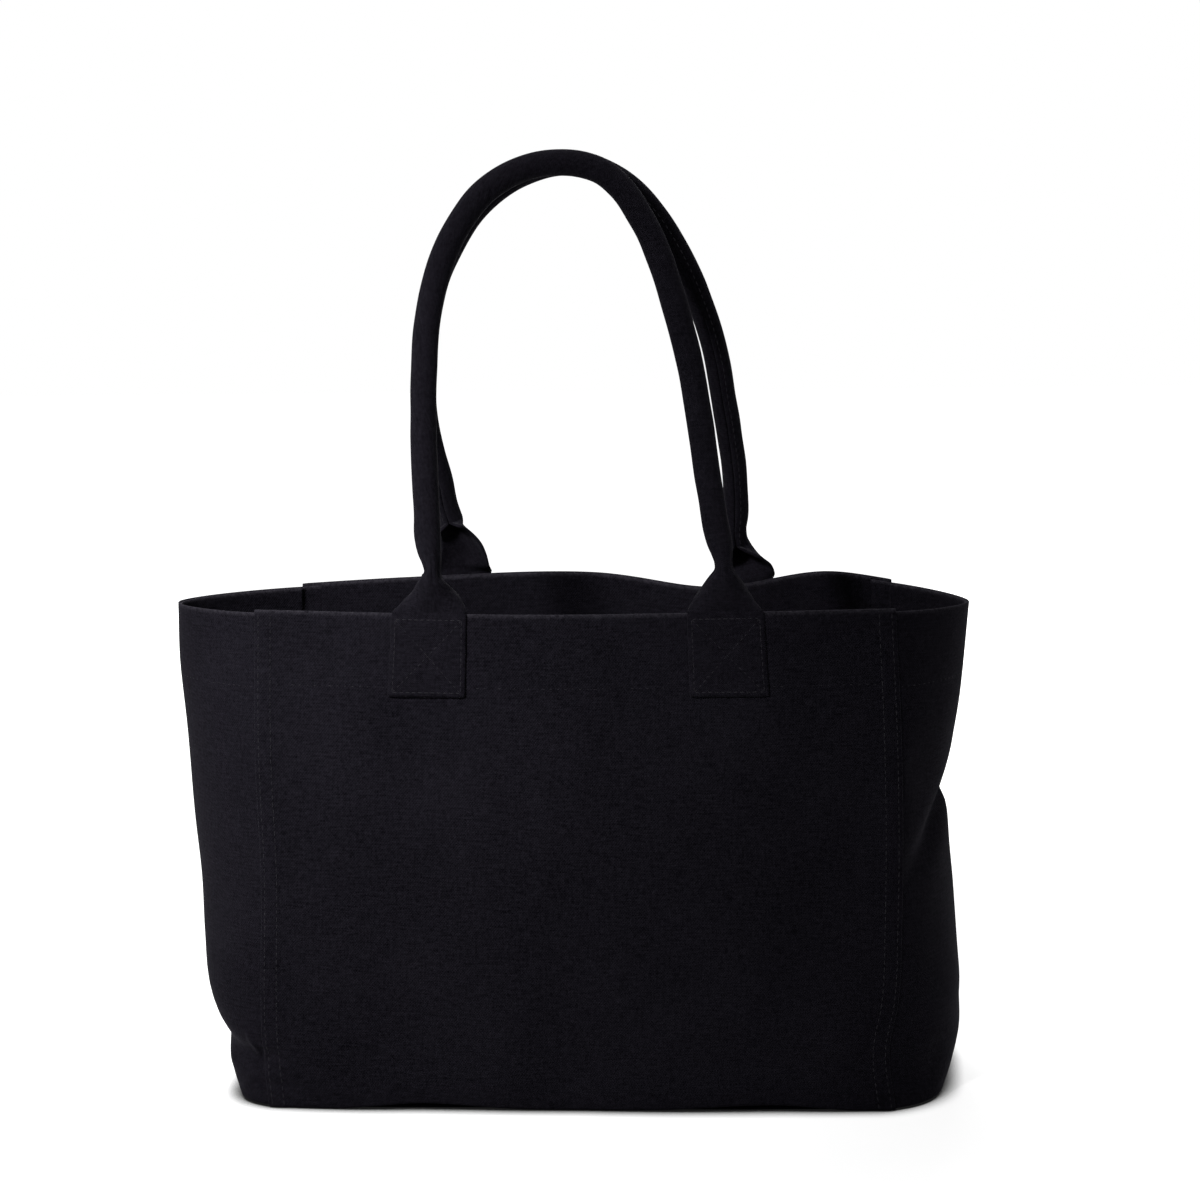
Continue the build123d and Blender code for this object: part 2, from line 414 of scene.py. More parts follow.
# Slabs: sheets with two faces and rounded edges
def slab(name, shape, across, up, outer, inner, finish, square=(), wornAndHighlighted=()):
    colGrid, rowGrid = np.meshgrid(across, up)
    point, normal = faceAndNormal(shape, colGrid, rowGrid)
    rows, cols = rowGrid.shape
    count = rows * cols
    index = np.arange(count).reshape(rows, cols)
    border = np.concatenate([index[0, :-1], index[:-1, -1], index[-1, :0:-1], index[:0:-1, 0]])
    right = lengthsAlong(point, 1)
    high = lengthsAlong(point, 0)
    fromEdge = {"bottom": high, "top": high[-1] - high, "left": right, "right": right[:, -1:] - right}
    edgeLine = {"bottom": np.s_[0, :], "top": np.s_[-1, :], "left": np.s_[:, 0], "right": np.s_[:, -1]}
    nextLine = {"bottom": np.s_[1, :], "top": np.s_[-2, :], "left": np.s_[:, 1], "right": np.s_[:, -2]}
    push = np.zeros_like(point)
    cut = np.zeros((rows, cols), bool)
    wearAndHighlight = np.zeros((rows, cols))
    for edge, line in edgeLine.items():
        if edge in square:
            cut[line] = True
        else:
            push[line] += unit(point[line] - point[nextLine[edge]])
        # edges listed here get a lighter line: rubbed wear and painted highlight
        if edge in wornAndHighlighted:
            wearAndHighlight = np.maximum(wearAndHighlight, np.exp(-fromEdge[edge] / cloth["wearAndHighlightReach"]))
    push[cut] = 0
    outer = np.broadcast_to(outer, (rows, cols))[..., None]
    half = ((outer - inner) / 2).reshape(-1, 1)
    front = (point + normal * outer).reshape(-1, 3)
    back = (point + normal * inner).reshape(-1, 3)
    middle = ((front + back) / 2 + unit(push.reshape(-1, 3)) * half)[border]
    quads = np.stack([index[:-1, :-1], index[:-1, 1:], index[1:, 1:], index[1:, :-1]], -1).reshape(-1, 4)
    following = np.roll(border, -1)
    rimVerts = 2 * count + np.arange(len(border))
    rimNext = np.roll(rimVerts, -1)
    faces = np.concatenate([
        quads,
        quads[:, ::-1] + count,
        np.stack([following, border, rimVerts, rimNext], -1),
        np.stack([rimNext, rimVerts, border + count, following + count], -1),
    ])
    mesh = bpy.data.meshes.new(name)
    mesh.from_pydata(np.concatenate([front, back, middle]).tolist(), [], faces.tolist())
    places = np.stack([right - right[:, cols // 2, None], high - high[-1]], -1).reshape(-1, 2)
    finishMesh(mesh, np.concatenate([places, places, places[border]]), finish)
    wearAndHighlight = np.concatenate([wearAndHighlight.ravel(), wearAndHighlight.ravel(), wearAndHighlight.ravel()[border]])
    mesh.attributes.new("wearAndHighlight", "FLOAT", "POINT").data.foreach_set("value", wearAndHighlight)
    if square:
        flags = np.concatenate([cut.ravel(), cut.ravel(), np.zeros(len(border), bool)])
        ends = np.empty(2 * len(mesh.edges), int)
        mesh.edges.foreach_get("vertices", ends)
        ends = ends.reshape(-1, 2)
        sharp = flags[ends].all(1) & (ends[:, 0] // count == ends[:, 1] // count)
        mesh.attributes.new("sharp_edge", "BOOLEAN", "EDGE").data.foreach_set("value", sharp)
    return addObject(name, mesh)


def finishMesh(mesh, places, finish):
    loopVerts = np.empty(len(mesh.loops), int)
    mesh.loops.foreach_get("vertex_index", loopVerts)
    mesh.uv_layers.new(name="cloth").data.foreach_set("uv", places[loopVerts].ravel())
    mesh.shade_smooth()
    mesh.materials.append(finish)


def addObject(name, mesh):
    piece = bpy.data.objects.new(name, mesh)
    bpy.context.scene.collection.objects.link(piece)
    return piece


# Shader maths: a wire carries a socket, and operators on wires add Math nodes
class Wire:
    def __init__(self, sheet, socket):
        self.sheet = sheet
        self.socket = socket

    def work(self, operation, *values):
        return self.sheet.node("ShaderNodeMath", {"operation": operation}, dict(enumerate(values)))

    def __add__(self, other):
        return self.work("ADD", self, other)

    def __radd__(self, other):
        return self.work("ADD", other, self)

    def __sub__(self, other):
        return self.work("SUBTRACT", self, other)

    def __rsub__(self, other):
        return self.work("SUBTRACT", other, self)

    def __mul__(self, other):
        return self.work("MULTIPLY", self, other)

    def __rmul__(self, other):
        return self.work("MULTIPLY", other, self)

    def sine(self):
        return self.work("SINE", self)


class NodeSheet:
    def __init__(self, tree):
        self.tree = tree
        tree.nodes.clear()

    def node(self, kind, settings=None, sockets=None, output=0):
        node = self.tree.nodes.new(kind)
        for key, value in (settings or {}).items():
            setattr(node, key, value)
        for key, value in (sockets or {}).items():
            if isinstance(value, Wire):
                self.tree.links.new(value.socket, node.inputs[key])
            else:
                node.inputs[key].default_value = value
        return Wire(self, node.outputs[output]) if len(node.outputs) else None


class Finish(NodeSheet):
    def __init__(self, owner):
        # the owner is a material or the world
        owner.use_nodes = True
        self.owner = owner
        super().__init__(owner.node_tree)

    def mix(self, share, first, second):
        return self.node("ShaderNodeMix", {"data_type": "RGBA"}, {0: share, 6: first, 7: second}, 2)

    def noise(self, vector, scale, detail=2.0, rough=0.5):
        sockets = {"Vector": vector, "Scale": scale, "Detail": detail, "Roughness": rough}
        return self.node("ShaderNodeTexNoise", None, sockets)

    def stretch(self, vector, factors):
        return self.node("ShaderNodeVectorMath", {"operation": "MULTIPLY"}, {0: vector, 1: factors})

    def remap(self, value, source=(0, 1), target=(0, 1)):
        return self.node("ShaderNodeMapRange", None, dict(enumerate((value, *source, *target))))

    def bump(self, look, height):
        sockets = {"Strength": look["bumpStrength"], "Distance": look["bump"], "Height": height}
        return self.node("ShaderNodeBump", None, sockets)

    def seen(self):
        # 1 where the camera looks at this, straight, mirrored or through glass
        rays = ("Is Camera Ray", "Is Glossy Ray", "Is Transmission Ray")
        straight, mirrored, through = (self.node("ShaderNodeLightPath", None, None, ray) for ray in rays)
        return 1 - (1 - straight) * (1 - mirrored) * (1 - through)

    def close(self, shader):
        kind = "World" if isinstance(self.owner, bpy.types.World) else "Material"
        self.node("ShaderNodeOutput" + kind, None, {"Surface": shader})
        return self.owner


canvasLook = {
    "dark": (0.0024, 0.0021, 0.0034, 1),
    "pale": (0.0130, 0.0117, 0.0165, 1),
    # colour of the rim line: rubbed wear and painted highlight
    "wornAndHighlighted": (0.042, 0.039, 0.048, 1),
    "warpPitch": 0.0009,
    "weftPitch": 0.0011,
    "weftGrain": (90, 850, 1),  # uneven yarns, long one way and fine the other
    "warpGrain": (900, 80, 1),
    "patchScale": 9.0,
    "fleckScale": 480.0,
    "weftTone": 0.27,  # how much each one counts in the cloth's tone
    "warpTone": 0.16,
    "patchTone": 0.22,
    "fleckTone": 0.35,
    "weaveTone": 0.05,
    "weaveHeight": 0.5,  # and in its bumps
    "weftHeight": 0.7,
    "warpHeight": 0.5,
    "toneRange": (0.36, 0.64),
    "rubAndHighlightRange": (0.3, 0.7),
    "rubAndHighlight": (0.15, 0.6),
    "roughRange": (0.3, 0.7),
    "rough": (0.95, 0.82),
    "bump": 0.0004,
    "bumpStrength": 0.6,
    "specular": 0.025,
    "sheen": 0.02,
    "sheenRough": 0.4,
    "sheenTint": (0.85, 0.82, 1.0, 1),
}


def clothFinish(name, look):
    # plain weave on the cloth's own UV map, which is in metres
    finish = Finish(bpy.data.materials.new(name))
    uv = finish.node("ShaderNodeUVMap", {"uv_map": "cloth"})
    along = finish.node("ShaderNodeSeparateXYZ", None, {0: uv}, 0)
    upward = finish.node("ShaderNodeSeparateXYZ", None, {0: uv}, 1)
    weave = (along * (pi / look["warpPitch"])).sine() * (upward * (pi / look["weftPitch"])).sine()
    weftYarn = finish.noise(finish.stretch(uv, look["weftGrain"]), 1.0)
    warpYarn = finish.noise(finish.stretch(uv, look["warpGrain"]), 1.0)
    objectPlace = finish.node("ShaderNodeTexCoord", None, None, "Object")
    patches = finish.noise(objectPlace, look["patchScale"], detail=3.0, rough=0.55)
    flecks = finish.noise(objectPlace, look["fleckScale"], rough=0.6)
    tone = look["weftTone"] * weftYarn + look["warpTone"] * warpYarn + look["patchTone"] * patches
    tone = tone + look["fleckTone"] * flecks + look["weaveTone"] * weave
    height = look["weaveHeight"] * weave + look["weftHeight"] * weftYarn + look["warpHeight"] * warpYarn
    colour = finish.mix(finish.remap(tone, look["toneRange"]), look["dark"], look["pale"])
    # the rim line lightens the colour: rubbed wear and painted highlight where light catches the edge
    wearAndHighlight = finish.node("ShaderNodeAttribute", {"attribute_name": "wearAndHighlight"}, None, "Fac")
    rubAndHighlight = wearAndHighlight * finish.remap(flecks, look["rubAndHighlightRange"], look["rubAndHighlight"])
    colour = finish.mix(rubAndHighlight, colour, look["wornAndHighlighted"])
    sockets = {
        "Base Color": colour,
        "Roughness": finish.remap(tone, look["roughRange"], look["rough"]),
        "Normal": finish.bump(look, height),
        "Specular IOR Level": look["specular"],
        "Sheen Weight": look["sheen"],
        "Sheen Roughness": look["sheenRough"],
        "Sheen Tint": look["sheenTint"],
    }
    return finish.close(finish.node("ShaderNodeBsdfPrincipled", None, sockets))


strapLook = {**canvasLook, "warpPitch": 0.00070, "weftPitch": 0.00066}
threadLook = {
    "dark": (0.0062, 0.0057, 0.0076, 1),
    "pale": (0.0185, 0.0170, 0.0222, 1),
    "fibreScale": 2600.0,
    "rough": (0.5, 0.7),
    "specular": 0.12,
    "sheen": 0.02,
}


def threadFinish(name, look):
    finish = Finish(bpy.data.materials.new(name))
    objectPlace = finish.node("ShaderNodeTexCoord", None, None, "Object")
    fibre = finish.noise(objectPlace, look["fibreScale"], detail=1.0)
    sockets = {
        "Base Color": finish.mix(fibre, look["dark"], look["pale"]),
        "Roughness": finish.remap(fibre, target=look["rough"]),
        "Specular IOR Level": look["specular"],
        "Sheen Weight": look["sheen"],
    }
    return finish.close(finish.node("ShaderNodeBsdfPrincipled", None, sockets))


cordLook = {
    "dark": (0.42, 0.38, 0.31, 1),
    "pale": (0.70, 0.66, 0.57, 1),
    "yarnGrain": (1600, 140, 1),
    "rough": (0.95, 0.85),
    "bump": 0.0004,
    "bumpStrength": 0.6,
    "sheen": 0.1,
}


def cordFinish(name, look):
    finish = Finish(bpy.data.materials.new(name))
    uv = finish.node("ShaderNodeUVMap", {"uv_map": "cloth"})
    yarn = finish.noise(finish.stretch(uv, look["yarnGrain"]), 1.0, detail=3.0)
    sockets = {
        "Base Color": finish.mix(yarn, look["dark"], look["pale"]),
        "Roughness": finish.remap(yarn, target=look["rough"]),
        "Normal": finish.bump(look, yarn),
        "Sheen Weight": look["sheen"],
    }
    return finish.close(finish.node("ShaderNodeBsdfPrincipled", None, sockets))


canvas = clothFinish("blackCanvas", canvasLook)
strapCloth = clothFinish("strapCanvas", strapLook)
thread = threadFinish("sewingThread", threadLook)
cottonCord = cordFinish("cottonCord", cordLook)
print("finishes made")

# Walls
frontShape = PanelShape("frontPanel", frontPanel)
backShape = PanelShape("backPanel", backPanel)
rightShape = GussetShape("rightGusset", rightGusset, frontShape, backShape)
leftShape = GussetShape("leftGusset", leftGusset, backShape, frontShape)


def roundWalls(panelCount, gussetCount):
    # the four walls in their order round the bag, each with even shares that leave out its end
    panel, gusset = (np.linspace(0, 1, count + 1)[:-1] for count in (panelCount, gussetCount))
    return [(frontShape, panel), (rightShape, gusset), (backShape, panel), (leftShape, gusset)]


# The walls settle as one ring of cloth, held along the rim, the base and the seams
settling = {
    "rows": 46,
    "panelCols": 56,
    "gussetCols": 24,
    "frames": 30,
    "cap": 0.005,  # no point moves further
    "cloth": {
        "quality": 6,
        "mass": 0.02,
        "tension_stiffness": 40,
        "compression_stiffness": 40,
        "shear_stiffness": 20,
        "bending_stiffness": 4,
        "air_damping": 4,
        "use_dynamic_mesh": False,
        "shrink_min": -0.0006,  # the cloth grows a little, so it has slack
    },
}


def settle():
    parts = roundWalls(settling["panelCols"], settling["gussetCols"])
    runs = np.linspace(0, rimRun, settling["rows"])
    grid = np.concatenate([shape(*np.meshgrid(steps, runs)) for shape, steps in parts], 1)
    rows, around = grid.shape[:2]
    index = np.arange(rows * around).reshape(rows, around)
    onward = np.roll(index, -1, axis=1)
    quads = np.stack([index[:-1], onward[:-1], onward[1:], index[1:]], -1).reshape(-1, 4)
    mesh = bpy.data.meshes.new("settlingWalls")
    mesh.from_pydata(grid.reshape(-1, 3).tolist(), [], quads.tolist())
    ring = addObject("settlingWalls", mesh)
    starts = np.cumsum([0] + [len(steps) for _, steps in parts])
    sewn = np.concatenate([index[0], index[-1], index[:, starts[:-1]].ravel()])
    ring.vertex_groups.new(name="held").add(np.unique(sewn).tolist(), 1, "REPLACE")
    modifier = ring.modifiers.new("settle", "CLOTH")
    modifier.settings.vertex_group_mass = "held"
    for key, value in settling["cloth"].items():
        setattr(modifier.settings, key, value)
    modifier.collision_settings.use_collision = False
    modifier.point_cache.frame_start = 1
    modifier.point_cache.frame_end = settling["frames"]
    scene = bpy.context.scene
    for step in range(1, settling["frames"] + 1):
        scene.frame_set(step)
    still = ring.evaluated_get(bpy.context.evaluated_depsgraph_get()).to_mesh()
    after = np.empty(rows * around * 3)
    still.vertices.foreach_get("co", after)
    moved = after.reshape(rows, around, 3) - grid
    size = np.linalg.norm(moved, axis=-1, keepdims=True)
    moved = moved * np.tanh(size / settling["cap"]) * settling["cap"] / np.maximum(size, 1e-9)
    moved = np.concatenate([moved, moved[:, :1]], 1)
    for (shape, steps), start in zip(parts, starts):
        settled[shape.name] = moved[:, start:start + len(steps) + 1]
    print("walls settled by up to", round(1000 * float(size.max()), 1), "mm")
    bpy.data.objects.remove(ring)
    bpy.data.meshes.remove(mesh)
    scene.frame_set(1)


settle()

walls = {
    "tuckRows": 5,
    "roundRows": 8,
    "lowRows": 50,
    "lowTop": 0.06,  # rows are closer together below this
    "highRows": 106,
    "gussetDrop": 0.002,  # the gussets' rims lie lower than the panels'
    "seamShare": 0.035,
    "seamCols": 10,
    "panelCols": 150,
    "gussetCols": 110,
    "allowanceCols": 6,
    "panelCut": (0.415, 0.342),
    "gussetCut": (0.235, 0.340),
}
arcRun = cloth["bottomRound"] * pi / 2
lowRows = np.concatenate([
    np.linspace(-cloth["tuck"], 0, walls["tuckRows"])[:-1],
    np.linspace(0, arcRun, walls["roundRows"])[:-1],
    np.linspace(arcRun, walls["lowTop"], walls["lowRows"])[:-1],
])
panelRows, gussetRows = (
    np.concatenate([lowRows, np.linspace(walls["lowTop"], rimRun - drop, walls["highRows"])])
    for drop in (0, walls["gussetDrop"])
)
seamCols = np.linspace(0, walls["seamShare"], walls["seamCols"])[:-1]
middleCols = np.linspace(walls["seamShare"], 1 - walls["seamShare"], walls["panelCols"])
panelCols = np.concatenate([seamCols, middleCols, 1 - seamCols[::-1]])
backCols = np.linspace(-1, 0, walls["allowanceCols"])[:-1]
gussetCols = np.concatenate([backCols, np.linspace(0, 1, walls["gussetCols"]), 1 - backCols[::-1]])
for name, shape, node in (
    ("frontPanelCloth", frontShape, "front_panel"),
    ("backPanelCloth", backShape, "back_panel"),
    ("leftGussetCloth", leftShape, "left_gusset"),
    ("rightGussetCloth", rightShape, "right_gusset"),
):
    if isinstance(shape, PanelShape):
        cols, rows, cut, held = panelCols, panelRows, walls["panelCut"], "stretched"
    else:
        cols, rows, cut, held = gussetCols, gussetRows, walls["gussetCut"], "folded"
    piece = slab(name, shape, cols, rows, 0, -cloth["thick"], canvas, wornAndHighlighted=("top",))
    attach(piece, "bag_body")
    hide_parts(node)
print("walls made")

# Facings inside the rim
facing = {
    "rows": 26,
    "topGap": 0.0008,  # below the panels' rim
    "gussetDrop": 0.002,
    "panelCols": (0.033, 0.967, 120),
    "gussetCols": (0.03, 0.97, 60),
    "panelCut": (0.386, 0.050),
    "gussetCut": (0.180, 0.050),
}
facingRows = np.linspace(runAt(facingFoot), rimRun - facing["topGap"], facing["rows"])
facingOuter = -cloth["thick"] - cloth["gap"]
facingInner = facingOuter - cloth["thick"]
for name, shape, node, wall in (
    ("frontFacing", frontShape, "front_rim_facing", "front_panel"),
    ("backFacing", backShape, "back_rim_facing", "back_panel"),
    ("leftFacing", leftShape, "left_rim_facing", "left_gusset"),
    ("rightFacing", rightShape, "right_rim_facing", "right_gusset"),
):
    if isinstance(shape, PanelShape):
        cols, rows, cut = facing["panelCols"], facingRows, facing["panelCut"]
    else:
        cols, rows, cut = facing["gussetCols"], facingRows - facing["gussetDrop"], facing["gussetCut"]
    piece = slab(name, shape, np.linspace(*cols), rows, facingOuter, facingInner, canvas, wornAndHighlighted=("top",))
    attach(piece, "bag_body")
    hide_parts(node)
print("facings made")

# Base panel, level with the bottom edges of the walls and under their turned-in edges
basePanel = {
    "thick": 0.0012,
    "run": -0.0034,
    "rings": 16,
    "panelCols": 79,
    "gussetCols": 35,
    "swell": 0.003,  # how far the rounded edge stands out, as a share of the outline
    "cut": (0.480, 0.165),
    "area": 0.070,
}


def baseMesh():
    parts = roundWalls(basePanel["panelCols"], basePanel["gussetCols"])
    outline = np.concatenate([shape(steps, basePanel["run"]) for shape, steps in parts])[:, :2]
    around = len(outline)
    shares = np.linspace(1, 0, basePanel["rings"] + 1)[:-1]
    flat = np.concatenate([outline * share for share in shares] + [np.zeros((1, 2))])
    level = len(flat)
    top = np.column_stack([flat, np.full(level, basePanel["thick"])])
    bottom = np.column_stack([flat, np.zeros(level)])
    edge = np.column_stack([outline * (1 + basePanel["swell"]), np.full(around, basePanel["thick"] / 2)])
    ring = np.arange(around)
    onward = np.roll(ring, -1)
    faces = []
    for k in range(basePanel["rings"] - 1):
        a, b = k * around, (k + 1) * around
        faces += np.stack([ring + a, onward + a, onward + b, ring + b], -1).tolist()
        faces += (np.stack([ring + b, onward + b, onward + a, ring + a], -1) + level).tolist()
    last = (basePanel["rings"] - 1) * around
    centre = level - 1
    faces += [[last + i, last + j, centre] for i, j in zip(ring, onward)]
    faces += [[level + last + j, level + last + i, level + centre] for i, j in zip(ring, onward)]
    rim = 2 * level + ring
    rimNext = np.roll(rim, -1)
    faces += np.stack([onward, ring, rim, rimNext], -1).tolist()
    faces += np.stack([rimNext, rim, ring + level, onward + level], -1).tolist()
    mesh = bpy.data.meshes.new("basePanelCloth")
    mesh.from_pydata(np.concatenate([top, bottom, edge]).tolist(), [], faces)
    finishMesh(mesh, np.concatenate([flat, flat, outline]), canvas)
    return mesh


base = addObject("basePanelCloth", baseMesh())
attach(base, "bag_body")
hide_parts("base_panel")
print("base made")

# Flat strap ends on the panels
tabs = {
    "front_left_tab": {"shape": frontShape, "top": -0.0935, "foot": -0.0962, "wall": "front_panel"},
    "front_right_tab": {"shape": frontShape, "top": 0.0965, "foot": 0.0990, "wall": "front_panel"},
    "back_left_tab": {"shape": backShape, "top": 0.0955, "foot": 0.0970, "wall": "back_panel"},
    "back_right_tab": {"shape": backShape, "top": -0.1000, "foot": -0.1010, "wall": "back_panel"},
}
tabForm = {
    "topRise": 0.0008,  # above the panel's rim
    "footFlare": 0.0009,
    "cornerLift": 0.0006,
    "cornerReach": 0.004,
    "rows": 34,
    "cols": 46,
}
tabTopRun = rimRun + tabForm["topRise"]


class TabShape:
    steps = (0.004, 0.0002)

    def __init__(self, tab):
        self.tab = tab
        self.panel = tab["shape"]
        self.half = tabHalf - strap["thick"] / 2

    # side goes from -1 to 1 across the strap; the face is the middle of its thickness
    def __call__(self, side, run):
        side, run = np.broadcast_arrays(np.asarray(side, float), np.asarray(run, float))
        up = (run - runAt(tabFoot)) / (tabTopRun - runAt(tabFoot))
        half = self.half + tabForm["footFlare"] * (1 - np.clip(up, 0, 1))
        across = self.tab["foot"] + (self.tab["top"] - self.tab["foot"]) * up + side * half
        point, normal = faceAndNormal(self.panel, self.panel.shareAt(across, run), run)
        nearFoot = np.exp(-((run - runAt(tabFoot)) / tabForm["cornerReach"]) ** 2)
        lift = strap["gap"] + strap["thick"] / 2 + tabForm["cornerLift"] * nearFoot * np.abs(side) ** 3
        return point + normal * lift[..., None]


def pressed(side):
    # the flat strap's face, lower along the edges that are sewn down
    return strap["thick"] / 2 - strap["pressed"] * np.abs(side) ** 8


tabShapes = {node: TabShape(tab) for node, tab in tabs.items()}
for node, shape in tabShapes.items():
    half = strap["thick"] / 2
    rows = np.linspace(runAt(tabFoot) + half, tabTopRun, tabForm["rows"])
    cols = np.linspace(-1, 1, tabForm["cols"])
    piece = slab(node + "_strap", shape, cols, rows, pressed(cols), -half, strapCloth, square=("top",))
    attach(piece, "bag_body")
    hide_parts(node)
print("tabs made")

# Handles: the strap rolls up round its cord above a pinched neck
handle = {
    "radius": 0.0085,
    "rollEnd": 0.957,  # the strap's edges meet on the inner side
    "rollStart": (-0.002, 0.007),  # heights between which the flat strap starts to roll
    "gather": (0.004, 0.030),  # and its width changes into the tube's
    "level": (0.020, 0.050),  # and its level sections turn across the route
    "deepen": 0.45,  # a squeezed strap bulges this much more
    "smoothing": 60,  # passes that take the last unevenness out of the listed points
    "joinFade": 0.012,
    "bend": 0.178,  # the strap leaves its tab in line with the panel and then leans in
    "bendEnd": 0.030,
    "wobble": 0.00022,
    "wobbleLength": 0.016,
    "wobbleAcross": 1.6,
    "wobbleFade": (0.02, 0.05),
    "pleat": 0.00045,
    "pleats": 9,
    "pleatAt": 0.026,
    "pleatReach": 0.010,
    "neckRun": 0.060,
    "neckRows": 60,
    "tubeRows": 300,
    "cols": 56,
    "openRun": 0.020,  # the strap's edges are pressed flat only up to here
}
# Each route lists the loop's (x, height above the fold)
# and each neck its (height, half width seen from the front)
frontHandle = {
    "side": -1,
    "route": [
        (-0.0935, 0), (-0.0924, 0.003), (-0.0914, 0.009), (-0.0917, 0.015), (-0.0919, 0.020),
        (-0.0913, 0.025), (-0.0918, 0.030), (-0.0934, 0.038), (-0.0947, 0.048), (-0.0954, 0.064),
        (-0.0966, 0.085), (-0.0980, 0.123), (-0.0978, 0.155), (-0.0962, 0.185), (-0.0920, 0.209),
        (-0.0850, 0.232), (-0.0730, 0.255), (-0.0580, 0.273), (-0.0400, 0.284), (-0.0150, 0.290),
        (0.0040, 0.2885), (0.0160, 0.284), (0.0280, 0.274), (0.0430, 0.252), (0.0550, 0.225),
        (0.0650, 0.193), (0.0730, 0.162), (0.0800, 0.123), (0.0855, 0.085), (0.0882, 0.068),
        (0.0904, 0.055), (0.0930, 0.0424), (0.0944, 0.036), (0.0953, 0.030), (0.0958, 0.026),
        (0.0955, 0.020), (0.0951, 0.010), (0.0955, 0.0036), (0.0965, 0),
    ],
    "leftNeck": [
        (0, 0.025), (0.003, 0.0234), (0.009, 0.0183), (0.0142, 0.0128), (0.0194, 0.0077),
        (0.0245, 0.0051), (0.030, 0.0057), (0.038, 0.0075), (0.048, 0.0085), (0.060, 0.0085),
    ],
    "rightNeck": [
        (0, 0.025), (0.0036, 0.0228), (0.0098, 0.0186), (0.015, 0.0146), (0.020, 0.0105),
        (0.026, 0.0059), (0.030, 0.0055), (0.036, 0.0067), (0.043, 0.0081), (0.050, 0.0085),
        (0.060, 0.0085),
    ],
    # how far the open strap is cupped towards its tube
    "leftCup": [(0, 0.45), (0.008, 0.60), (0.016, 0.90), (0.022, 1), (0.060, 1)],
    "rightCup": [(0, 0.45), (0.008, 0.60), (0.016, 0.90), (0.022, 1), (0.060, 1)],
    "closed": (0.025, 0.028),  # where the rolled edges are sewn together, on the left and on the right
    "seed": 53,
}
backHandle = {
    "side": 1,
    "route": [
        (-0.0955, 0), (-0.0927, 0.0066), (-0.0903, 0.013), (-0.0893, 0.020), (-0.0898, 0.0255),
        (-0.0923, 0.032), (-0.0942, 0.036), (-0.0960, 0.040), (-0.0972, 0.0445), (-0.0996, 0.0535),
        (-0.1022, 0.071), (-0.1070, 0.093), (-0.1100, 0.114), (-0.1105, 0.136), (-0.1085, 0.160),
        (-0.1040, 0.188), (-0.0975, 0.212), (-0.0870, 0.234), (-0.0735, 0.255), (-0.0560, 0.272),
        (-0.0350, 0.284), (-0.0100, 0.2900), (0.0120, 0.2855), (0.0340, 0.2715), (0.0500, 0.2525),
        (0.0615, 0.233), (0.0705, 0.214), (0.0780, 0.194), (0.0840, 0.174), (0.0885, 0.153),
        (0.0915, 0.131), (0.0950, 0.107), (0.0984, 0.075), (0.0988, 0.048), (0.0981, 0.034),
        (0.0988, 0.027), (0.1004, 0.0215), (0.1029, 0.0165), (0.1047, 0.0095), (0.1040, 0.0045),
        (0.1000, 0),
    ],
    "leftNeck": [
        (0, 0.025), (0.0066, 0.0219), (0.013, 0.0187), (0.020, 0.0163), (0.0255, 0.0149),
        (0.032, 0.0122), (0.036, 0.0102), (0.040, 0.0087), (0.045, 0.0085), (0.060, 0.0085),
    ],
    "rightNeck": [
        (0, 0.025), (0.0045, 0.0217), (0.0095, 0.0194), (0.0165, 0.0147), (0.0215, 0.0106),
        (0.027, 0.0082), (0.034, 0.0078), (0.044, 0.0085), (0.060, 0.0085),
    ],
    "leftCup": [(0, 0.3), (0.020, 0.28), (0.034, 0.30), (0.0395, 0.50), (0.043, 1), (0.060, 1)],
    "rightCup": [(0, 0.4), (0.010, 0.45), (0.018, 0.75), (0.024, 1), (0.060, 1)],
    "closed": (0.041, 0.024),
    "seed": 59,
}
# The half width of a strap rolled by an angle, as a share of its flat half width
rollSteps = np.linspace(0.01, handle["rollEnd"] * pi, 200)
rollWidths = np.where(rollSteps < pi / 2, np.sin(rollSteps), 1) / rollSteps


